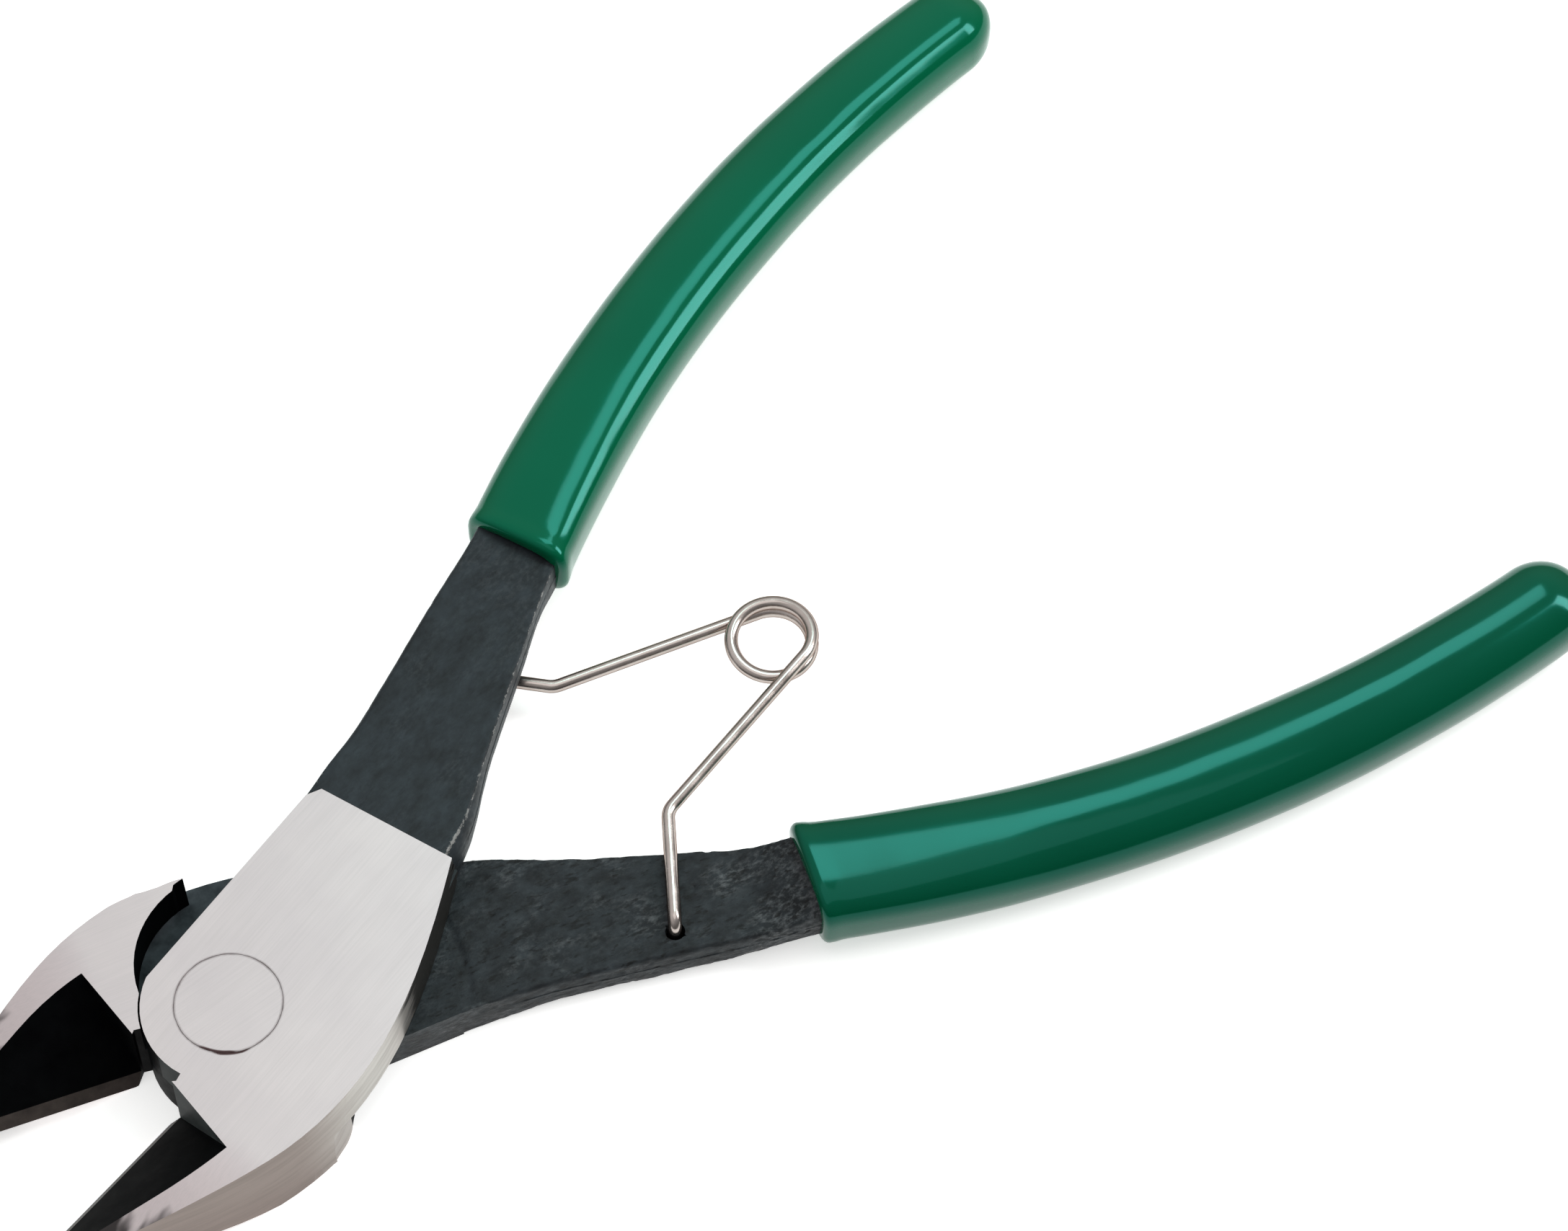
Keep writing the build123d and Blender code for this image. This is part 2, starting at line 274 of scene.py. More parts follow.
def flank_start(x):
    """How far out from the middle line the ground flank begins."""
    return next(y for from_x, y in FLANK_STARTS if x > from_x)


def head_finish(c, n, lap):
    """Which finish a face of the head has, from its middle and its normal."""
    flat, upright = abs(n.z) > FLAT, abs(n.z) < UPRIGHT
    from_pin = hypot(c.x, c.y)
    if from_pin < BORE_WALL_R and abs(n.z) < BORE_STEEP:
        return "ground"
    if flat and abs(c.z) > (FACE_Z if c.x < NECK_X else FLOOR_Z):
        return "ground"
    if flat:
        return "oxide" if c.x < FLOOR_END_X else "lap"
    if c.x > BEVEL_X and n.z > BEVEL_RISE:
        return "bevel"
    if c.x > BEVEL_X and n.z > UPRIGHT:
        return "honed"
    if BEVEL_X < c.x < END_WALL_X and upright and n.x > END_WALL_FACING:
        return "end_wall" if lap > 0 else "bevel"
    if c.x > TIP_X:
        return "flank"
    outside = c.y > flank_start(c.x) and (c.x > 0 or from_pin > POCKET_R)
    if upright and n.y > FLANK_FACING and outside:
        return "flank"
    if upright and (c.y < OXIDE_Y or c.x < OXIDE_X):
        return "oxide"
    return "bevel"


def cut_across(head, faces, x):
    """Cuts some of the head's faces along the plane at x, so that they can bend or change there."""
    parts = [part for face in faces for part in (face, *face.edges, *face.verts)]
    bmesh.ops.bisect_plane(head, geom=list(dict.fromkeys(parts)), dist=CUT_SLACK,
                           plane_co=(x, 0, 0), plane_no=(1, 0, 0))


def cut_off_shank(head, lap):
    """Ends the head at the line where the ground face stops, and closes the cut."""
    (x0, y0), (x1, y1) = HEAD_ENDS[lap]
    across = Vector((y0 - y1, x1 - x0, 0)).normalized()
    bmesh.ops.bisect_plane(head, geom=head.verts[:] + head.edges[:] + head.faces[:], dist=CUT_SLACK,
                           plane_co=Vector((x0, y0, 0)) - across * HEAD_OVERLAP, plane_no=across,
                           clear_outer=True)
    loop = [edge for edge in head.edges if len(edge.link_faces) == 1]
    bmesh.ops.triangle_fill(head, use_beauty=True, edges=loop, normal=across)
    bmesh.ops.dissolve_limit(head, angle_limit=radians(FLAT_SLACK), verts=head.verts, edges=head.edges)


def dress_shoulder(head, lap):
    """Swells the top lever's shoulder, or raises the tip of the bottom lever's crescent."""
    for x in SHOULDER_CUTS:
        cut_across(head, [face for face in head.faces if abs(face.normal.z) < SHOULDER_WALL_STEEP
                          and face.calc_center_median().y > SHOULDER_WALL_Y], x)
    for vert in head.verts:
        x = vert.co.x
        if lap * vert.co.z >= SHOULDER_LAP_Z or vert.co.y <= SHOULDER_RIM_Y:
            continue
        if lap > 0:
            vert.co.y += SHOULDER_SWELL * smooth(*SHOULDER_RISE, x) * (1 - smooth(*SHOULDER_FALL, x))
        else:
            vert.co.y += CRESCENT_RAISE * (1 - smooth(*CRESCENT_TIP, x))
            vert.co.y -= CRESCENT_CUT * smooth(*CRESCENT_CUT_START, x) * (1 - smooth(*CRESCENT_CUT_END, x))


def eased_edges(head):
    """The edges that the wheel has broken: the sharp ones, but not the cutting edge or the bore."""
    eased = []
    for edge in head.edges:
        middle = (edge.verts[0].co + edge.verts[1].co) / 2
        keen = abs(middle.y) < KEEN_Y and middle.x > KEEN_X
        bored = hypot(middle.x, middle.y) < BORE_EDGE_R
        sharp = len(edge.link_faces) == 2 and edge.calc_face_angle(0) > radians(EASED_ANGLE)
        if sharp and not keen and not bored:
            eased.append(edge)
    return eased


def add_head(lap, finishes):
    """The head and jaw of one lever: its CAD mesh, drawn shut, cut where the black shank begins."""
    head = bmesh.new()
    head.from_mesh(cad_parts["top_lever" if lap > 0 else "bottom_lever"].data)
    bmesh.ops.transform(head, matrix=turned_open(lap).inverted(), verts=head.verts)
    if lap < 0:
        bmesh.ops.reverse_faces(head, faces=head.faces)
    bmesh.ops.remove_doubles(head, verts=head.verts, dist=WELD)
    cut_off_shank(head, lap)
    dress_shoulder(head, lap)
    cut_across(head, [face for face in head.faces if abs(face.normal.z) > FLAT
                      and abs(face.calc_center_median().z) < FLOOR_Z], FLOOR_END_X)
    bmesh.ops.recalc_face_normals(head, faces=head.faces)
    for face in head.faces:
        face.material_index = finishes.index(head_finish(face.calc_center_median(), face.normal, lap))
    bmesh.ops.bevel(head, geom=eased_edges(head), offset=EDGE_EASE, segments=2, profile=0.6,
                    affect="EDGES", clamp_overlap=True, material=-1)
    return head


# The shank: a flat forged bar with a flash line round its middle. Its outer corner is soft, and its
# inner one is a sharper ridge that hands have worn bare. It thins into the tang before the grip.
# The two faces thin at different places, which leaves room for the spring when the handles shut.
SHANK_ROOT_X = -19.0
SHANK_TAIL_X = -63.0
SHANK_INNER_ROOT = (-18.5, 8.9)
SHANK_INNER = [(27.0, 7.8), (36.0, 6.6), (47.0, 5.76), (58.0, 4.9), (74.0, 4.8)]
SHANK_OUTER_ROOT = [(-18.5, -8.45), (-23.0, -8.48), (-27.3, -9.0), (-30.6, -9.45)]
SHANK_OUTER = [(45.0, 6.25), (58.0, 4.9), (74.0, 4.8)]
OUTER_TRIM = 0.02
SHANK_LOW = 0.15
SHANK_HIGH = 4.45
TANG_HALF = 2.7
JOGGLE = (46.0, 61.0)
JOGGLE_INSIDE = (53.0, 62.5)
NECK_RAISE = {1: 0.5, -1: 0.4}
NECK_BLEND = (26.0, 33.0)
CORNER_KEEN = 0.12
FORGE_ROUND = 0.65
RIDGE_ROUND = 0.3
RIDGE_DRAFT = 0.8
RIDGE_FADE = (27.0, 40.0)
FORGE_DRAFT = 0.2
FORGE_EASE_RUN = 10.0
FLASH_HALF = 0.42
FLASH_STEP = 0.1
SKIN_STEP = 0.3
WALL_STEPS = 5
CORNER_STEPS = 6
LEAST_FLAT_STEPS = 8
WORN_REACH = 1.5
OUTER_CORNER_SPARED = 0.2

# The forged skin: dents, flaked scale and pits, each by its size and its height in millimetres. The
# pits' pattern is shifted, so that they don't sit with the dents. The top lever came from a cleaner
# die, and the bottom one is milled a little lower where the other lever's head sweeps over it.
SKIN_START = {1: 24.2, -1: 21.4}
SKIN_START_RUN = 3.0
SKIN_HEIGHT = {1: 0.25, -1: 1.0}
DENT_SIZE = 4.5
DENT_HEIGHT = 0.1
FLAKE_LONG = 1.9
FLAKE_WIDE = 1.0
FLAKE_HEIGHT = 0.08
FLAKE_OCTAVES = (0.75, 2.1, 4)
PIT_SIZE = 0.8
PIT_DEPTH = 0.35
PIT_SPARSE = 0.4
PIT_SHIFT = Vector((7, 3, 1))
BOSS_STEP_R = 24.1
BOSS_STEP_RUN = 0.6
BOSS_STEP = 0.16
BOSS_STEP_LOW = -0.6

# The hook hole, drilled blind for the spring's leg. The skin's points near it are spread to a ring
# of its true radius, and those well inside go down to its floor.
HOOK_HOLE = (-44.7, -9.1)
HOOK_HOLE_R = 1.02
HOOK_HOLE_DEPTH = 3.0
HOOK_HOLE_REACH = 1.18
HOOK_HOLE_RIM = 0.86
HOOK_HOLE_SKIN_Z = 1.5
HOOK_FLOOR_SPREAD = 1.9
HOOK_FLOOR_EDGE = 0.89
HOOK_FLOOR_TAPER = 0.12


def shank_section(half_w, half_t, ease, ridge_draft):
    """Points round the forged bar, as (across, up); its corners ease from keen at the head to round."""
    soft = CORNER_KEEN + (FORGE_ROUND - CORNER_KEEN) * ease
    keen = CORNER_KEEN + (RIDGE_ROUND - CORNER_KEEN) * ease
    flat_steps = max(int(2 * half_w / SKIN_STEP), LEAST_FLAT_STEPS)
    flash_in = FLASH_STEP * ease

    def quarter(side, up, round_r, draft):
        """The side wall, from the flash to the flat."""
        start, stop = FLASH_HALF + FLASH_STEP, half_t - round_r
        run = [(side * half_w, up * FLASH_HALF), (side * (half_w - flash_in), up * start)]
        for k in range(1, WALL_STEPS):
            t = k / WALL_STEPS
            inset = flash_in + (draft - flash_in) * t ** 2
            run.append((side * (half_w - inset), up * (start + (stop - start) * t)))
        for k in range(CORNER_STEPS + 1):
            a = pi / 2 * k / CORNER_STEPS
            inset = draft + round_r * (1 - cos(a))
            run.append((side * (half_w - inset), up * (half_t - round_r * (1 - sin(a)))))
        return run

    points = []
    for up in (1, -1):
        ridge = (keen, FORGE_DRAFT * ease + ridge_draft) if up > 0 else (soft, FORGE_DRAFT * ease)
        rise = quarter(up, up, *ridge)
        fall = quarter(-up, up, soft, FORGE_DRAFT * ease)[::-1]
        points.append((up * half_w, -up * FLASH_HALF * 0.5))
        points += rise
        for k in range(1, flat_steps):
            t = k / flat_steps
            points.append((rise[-1][0] * (1 - t) + fall[0][0] * t, up * half_t))
        points += fall
    return points


def skin(shell, rows):
    """Closes a shell: faces between the rows of points, and a cap at each end."""
    for before, after in zip(rows, rows[1:]):
        for k in range(len(before)):
            m = (k + 1) % len(before)
            shell.faces.new((before[k], before[m], after[m], after[k]))
    shell.faces.new(rows[0])
    shell.faces.new(rows[-1][::-1])
    bmesh.ops.recalc_face_normals(shell, faces=shell.faces)
    shell.normal_update()


def scale_skin(p, lap):
    """Height of the forged skin in millimetres: shallow dents, flaked scale and small pits."""
    dent = noise.noise(p / DENT_SIZE) * DENT_HEIGHT
    flake_place = Vector((p.x / FLAKE_LONG, p.y / FLAKE_WIDE, p.z / FLAKE_WIDE))
    flake = noise.fractal(flake_place, *FLAKE_OCTAVES) * FLAKE_HEIGHT
    pit = max(noise.noise(p / PIT_SIZE + PIT_SHIFT) - PIT_SPARSE, 0.0) * -PIT_DEPTH
    swept = 0
    if lap < 0 and p.z > BOSS_STEP_LOW:
        swept = BOSS_STEP * (1 - smooth(BOSS_STEP_R, BOSS_STEP_R + BOSS_STEP_RUN, hypot(p.x, p.y)))
    return SKIN_HEIGHT[lap] * (dent + flake + pit) - swept


def drill_hook_hole(shank, lap):
    for vert in shank.verts:
        off = Vector((vert.co.x - HOOK_HOLE[0], vert.co.y - HOOK_HOLE[1], 0))
        out = off.length / HOOK_HOLE_R
        if out > HOOK_HOLE_REACH or abs(vert.co.z) > HOOK_HOLE_SKIN_Z:
            continue
        on_floor = min(HOOK_FLOOR_SPREAD * out, HOOK_FLOOR_EDGE + HOOK_FLOOR_TAPER * out)
        wanted = 1.0 if out > HOOK_HOLE_RIM else on_floor
        vert.co += off.normalized() * (wanted - out) * HOOK_HOLE_R
        if out <= HOOK_HOLE_RIM:
            vert.co.z += lap * HOOK_HOLE_DEPTH


def add_shank(lap):
    """The bare forged shank, as a dense skin, from inside the head to inside the grip."""
    inner = [SHANK_INNER_ROOT] + [beside(u, half) for u, half in SHANK_INNER]
    outer = SHANK_OUTER_ROOT + [beside(u, -half) for u, half in SHANK_OUTER]
    low, high = through(outer, SHANK_ROOT_X) + OUTER_TRIM, through(inner, SHANK_ROOT_X)
    root_half = (high - low) / 2
    start = SKIN_START[lap]
    count = int((SHANK_ROOT_X - SHANK_TAIL_X) / SKIN_STEP)
    shank = bmesh.new()
    worn = shank.verts.layers.float.new("worn")
    rows = []
    for k in range(count + 1):
        x = SHANK_ROOT_X + (SHANK_TAIL_X - SHANK_ROOT_X) * k / count
        low, high = through(outer, x) + OUTER_TRIM, through(inner, x)
        neck = 1 - smooth(*NECK_BLEND, -x)
        top = SHANK_HIGH + (TANG_HALF - SHANK_HIGH) * smooth(*JOGGLE, -x) + NECK_RAISE[lap] * neck
        bottom = SHANK_LOW + (-TANG_HALF - SHANK_LOW) * smooth(*JOGGLE_INSIDE, -x)
        half_t = (top - bottom) / 2
        stretch = (high - low) / 2 / root_half
        ridge_draft = RIDGE_DRAFT * (1 - smooth(*RIDGE_FADE, -x))
        ease = smooth(start, start + FORGE_EASE_RUN, -x)
        row = []
        for across, up in shank_section(root_half, half_t, ease, ridge_draft):
            y = (low + high) / 2 + across * stretch
            z = (top + bottom) / 2 + up
            vert = shank.verts.new((x, y, lap * z))
            corner_at = root_half - (ridge_draft if across > 0 else 0)
            from_edge = hypot(abs(across) - corner_at, up - half_t)
            spared = OUTER_CORNER_SPARED if across < 0 else 0
            vert[worn] = max(WORN_REACH - from_edge - spared, 0) / WORN_REACH
            row.append(vert)
        rows.append(row)
    skin(shank, rows)
    for vert in shank.verts:
        vert.co += vert.normal * scale_skin(vert.co, lap) * smooth(start, start + SKIN_START_RUN, -vert.co.x)
    drill_hook_hole(shank, lap)
    return shank


def drawn(name, shell, materials, matrix, mirrored):
    """An object from a closed shell, with the shut place of every point kept as an attribute."""
    mesh = bpy.data.meshes.new(name)
    for material in materials:
        mesh.materials.append(material)
    shell.to_mesh(mesh)
    shell.free()
    places = np.empty(len(mesh.vertices) * 3, np.float32)
    mesh.vertices.foreach_get("co", places)
    mesh.attributes.new("shut", "FLOAT_VECTOR", "POINT").data.foreach_set("vector", places)
    mesh.transform(matrix)
    if mirrored:
        mesh.flip_normals()
    mesh.polygons.foreach_set("use_smooth", [True] * len(mesh.polygons))
    mesh.set_sharp_from_angle(angle=radians(SHARP_ANGLE))
    return lay(bpy.data.objects.new(name, mesh))


# Satin ground steel: a fine belt leaves short hairlines about a tenth of a millimetre apart, which
# are drawn a little coarser so that they show. The face is pale and even, with faint warm clouds
# about 9 mm across and a thin grey line round the rivet, where lapping dirt has stayed. The wheel
# has burnt the steel dark near the jaw's tip, in smears that slant across it.
GRIND_CLOUD_MM = 9.0
HAIRLINE_MM = (7.0, 0.16, 0.16)
HAIRLINE_TURN = 8.0
BURN_SMEAR_MM = (6.0, 2.2, 3.0)
BURN_SMEAR_TURN = -22.0
RIVET_DIRT_MM = 1.6
RIVET_NICK = (4.0, 3.6, 0.0)

# A Mix node's two colour sockets share their names with its other sockets, so they go by number.
FIRST_TONE, SECOND_TONE = 6, 7


def shut_place(tree):
    return add(tree, "Attribute", {"attribute_name": "shut"}, {}).outputs["Vector"]


def per_mm(size_mm):
    """The mapping scale that gives a pattern's grain this size along each axis."""
    return tuple(1 / size for size in size_mm)


def turned_about_z(degrees):
    return (0, 0, radians(degrees))


def rivet_line(tree, place):
    """One near the rivet's rim, nought elsewhere, broken as old dirt is, and packed at one nick."""
    flat = add(tree, "VectorMath", {"operation": "MULTIPLY"}, {0: place, 1: (1, 1, 0)})
    radius = add(tree, "VectorMath", {"operation": "LENGTH"}, {0: flat})
    off = add(tree, "Math", {"operation": "SUBTRACT"}, {0: radius, 1: RIVET_R})
    away = add(tree, "Math", {"operation": "ABSOLUTE"}, {0: off})
    nick = add(tree, "VectorMath", {"operation": "DISTANCE"}, {0: flat, 1: RIVET_NICK})
    packed = add(tree, "MapRange", {"interpolation_type": "SMOOTHSTEP"}, {
        "Value": nick, "From Min": 2.3, "From Max": 1.0, "To Min": 0.0, "To Max": 1.0})
    widened = add(tree, "Math", {"operation": "MULTIPLY_ADD"}, {0: packed, 1: -0.1, 2: away})
    near = add(tree, "MapRange", {"interpolation_type": "SMOOTHSTEP"}, {
        "Value": widened, "From Min": 0.25, "From Max": 0.0, "To Min": 0.0, "To Max": 1.0})
    dirt = add(tree, "TexNoise", {}, {
        "Vector": place, "Scale": 1 / RIVET_DIRT_MM, "Detail": 3.0, "Roughness": 0.55})
    broken = add(tree, "ValToRGB", {"greys": [(0.35, 0.28), (0.62, 0.65)]}, {"Fac": dirt})
    thick = add(tree, "Math", {"operation": "MULTIPLY_ADD"}, {0: packed, 1: 0.8, 2: broken})
    return add(tree, "Math", {"operation": "MULTIPLY", "use_clamp": True}, {0: near, 1: thick})


def satin_ground_steel(name, place_of):
    material, tree = new_material(name)
    place = place_of(tree)
    cloud = add(tree, "TexNoise", {}, {
        "Vector": place, "Scale": 1 / GRIND_CLOUD_MM, "Detail": 2.0, "Roughness": 0.55})
    hairline_place = add(tree, "Mapping", {}, {
        "Vector": place, "Scale": per_mm(HAIRLINE_MM), "Rotation": turned_about_z(HAIRLINE_TURN)})
    hairline = add(tree, "TexNoise", {}, {
        "Vector": hairline_place, "Scale": 1.0, "Detail": 2.0, "Roughness": 0.55})
    warm = add(tree, "ValToRGB", {"greys": [(0.3, 0.0), (0.7, 1.0)]}, {"Fac": cloud})
    tone = add(tree, "Mix", {"data_type": "RGBA"}, {
        "Factor": warm, FIRST_TONE: "#c8bcbd", SECOND_TONE: "#cec2c2"})
    scratch = add(tree, "ValToRGB", {"greys": [(0.35, 0.0), (0.8, 0.16)]}, {"Fac": hairline})
    tone = add(tree, "Mix", {"data_type": "RGBA"}, {
        "Factor": scratch, FIRST_TONE: tone, SECOND_TONE: "#aba8a7"})
    tone = add(tree, "Mix", {"data_type": "RGBA"}, {
        "Factor": rivet_line(tree, place), FIRST_TONE: tone, SECOND_TONE: "#4a3838"})
    along = add(tree, "SeparateXYZ", {}, {"Vector": place})
    smear_place = add(tree, "Mapping", {}, {
        "Vector": place, "Scale": per_mm(BURN_SMEAR_MM), "Rotation": turned_about_z(BURN_SMEAR_TURN)})
    smear = add(tree, "TexNoise", {}, {
        "Vector": smear_place, "Scale": 1.0, "Detail": 2.0, "Roughness": 0.55})
    reach = add(tree, "Math", {"operation": "MULTIPLY_ADD"}, {0: smear, 1: 14.0, 2: along.outputs["X"]})
    burnt = add(tree, "MapRange", {"interpolation_type": "SMOOTHSTEP"}, {
        "Value": reach, "From Min": 27.5, "From Max": 31.0, "To Min": 0.0, "To Max": 0.93})
    tone = add(tree, "Mix", {"data_type": "RGBA"}, {
        "Factor": burnt, FIRST_TONE: tone, SECOND_TONE: "#1a1918"})
    dulled = add(tree, "ValToRGB", {"greys": [(0.25, 0.44), (0.75, 0.52)]}, {"Fac": hairline})
    relief = add(tree, "Bump", {}, {"Height": hairline, "Distance": 0.003 * MM, "Strength": 0.2})
    steel = add(tree, "BsdfPrincipled", {}, {
        "Base Color": tone, "Metallic": 1.0, "Roughness": dulled, "Normal": relief})
    add(tree, "OutputMaterial", {}, {"Surface": steel})
    return material


# Ground flank: the side of the jaw, ground across by a coarser wheel and left darker and warmer than
# the face. Its marks are half a millimetre apart. Towards the crotch the wheel has not reached, and
# the black skin comes through in streaks.
FLANK_STREAK_MM = (9.0, 9.0, 0.6)


def ground_flank_steel():
    material, tree = new_material("flank_ground_steel")
    place = shut_place(tree)
    streak_place = add(tree, "Mapping", {}, {"Vector": place, "Scale": per_mm(FLANK_STREAK_MM)})
    streak = add(tree, "TexNoise", {}, {
        "Vector": streak_place, "Scale": 1.0, "Detail": 4.0, "Roughness": 0.6})
    along = add(tree, "SeparateXYZ", {}, {"Vector": place})
    pale = add(tree, "MapRange", {"interpolation_type": "SMOOTHSTEP"}, {
        "Value": along.outputs["X"], "From Min": 9.0, "From Max": -3.0, "To Min": 0.0, "To Max": 1.0})
    tone = add(tree, "Mix", {"data_type": "RGBA"}, {
        "Factor": pale, FIRST_TONE: "#81756f", SECOND_TONE: "#b3aea9"})
    scored = add(tree, "ValToRGB", {"greys": [(0.4, 0.0), (0.75, 0.3)]}, {"Fac": streak})
    tone = add(tree, "Mix", {"data_type": "RGBA"}, {
        "Factor": scored, FIRST_TONE: tone, SECOND_TONE: "#6c645f"})
    wander = add(tree, "Math", {"operation": "MULTIPLY_ADD"}, {0: streak, 1: 12.0, 2: along.outputs["X"]})
    bright = add(tree, "MapRange", {"interpolation_type": "SMOOTHSTEP"}, {
        "Value": wander, "From Min": -6.5, "From Max": -3.0, "To Min": 0.0, "To Max": 1.0})
    tone = add(tree, "Mix", {"data_type": "RGBA"}, {
        "Factor": bright, FIRST_TONE: "#1d1b18", SECOND_TONE: tone})
    dulled = add(tree, "ValToRGB", {"greys": [(0.3, 0.32), (0.7, 0.44)]}, {"Fac": streak})
    relief = add(tree, "Bump", {}, {"Height": streak, "Distance": 0.008 * MM, "Strength": 0.2})
    steel = add(tree, "BsdfPrincipled", {}, {
        "Base Color": tone, "Metallic": bright, "Roughness": dulled, "Normal": relief})
    add(tree, "OutputMaterial", {}, {"Surface": steel})
    return material


# Milled and blackened steel: the cutter leaves fine rings a third of a millimetre apart, then the
# black oxide makes them a deep flat black. The honed strip at the cutting edge and the end wall are
# lighter, brown and grey.
MILL_RING_MM = (0.35, 4.0, 4.0)
MILL_RING_TURN = 10.0
BLACKING_CLOUD_MM = 2.4


def blackened_milled_steel(name, dark, light, roughness):
    material, tree = new_material(name)
    place = shut_place(tree)
    ring_place = add(tree, "Mapping", {}, {
        "Vector": place, "Scale": per_mm(MILL_RING_MM), "Rotation": turned_about_z(MILL_RING_TURN)})
    ring = add(tree, "TexNoise", {}, {"Vector": ring_place, "Scale": 1.0, "Detail": 3.0, "Roughness": 0.55})
    cloud = add(tree, "TexNoise", {}, {
        "Vector": place, "Scale": 1 / BLACKING_CLOUD_MM, "Detail": 4.0, "Roughness": 0.55})
    faded = add(tree, "ValToRGB", {"greys": [(0.3, 0.0), (0.75, 1.0)]}, {"Fac": cloud})
    tone = add(tree, "Mix", {"data_type": "RGBA"}, {
        "Factor": faded, FIRST_TONE: dark, SECOND_TONE: light})
    dulled = add(tree, "ValToRGB", {"greys": [(0.3, roughness - 0.07), (0.7, roughness + 0.07)]}, {
        "Fac": cloud})
    relief = add(tree, "Bump", {}, {"Height": ring, "Distance": 0.008 * MM, "Strength": 0.4})
    steel = add(tree, "BsdfPrincipled", {}, {
        "Base Color": tone, "Roughness": dulled, "Normal": relief, "Specular IOR Level": 0.04})
    add(tree, "OutputMaterial", {}, {"Surface": steel})
    return material


# Black oxide on a forged skin: blue-grey, with lighter flakes where scale came off, small black
# pits, and bare steel on the sharp ridge where the levers are handled. Flakes are half a millimetre
# wide, pits as wide and longer, and they come in patches of several millimetres.
SCALE_PATCH_MM = (9.0, 5.0, 5.0)
OXIDE_CLOUD_MM = (2.6, 1.8, 1.8)
SCALE_FLAKE_MM = (0.8, 0.45, 0.45)
SCALE_FLAKE_TURN = 10.0
SCALE_PIT_MM = (1.5, 0.55, 0.55)
SCALE_PIT_TURN = -8.0
RUBBED_SPOT_MM = (0.6, 0.5, 0.5)


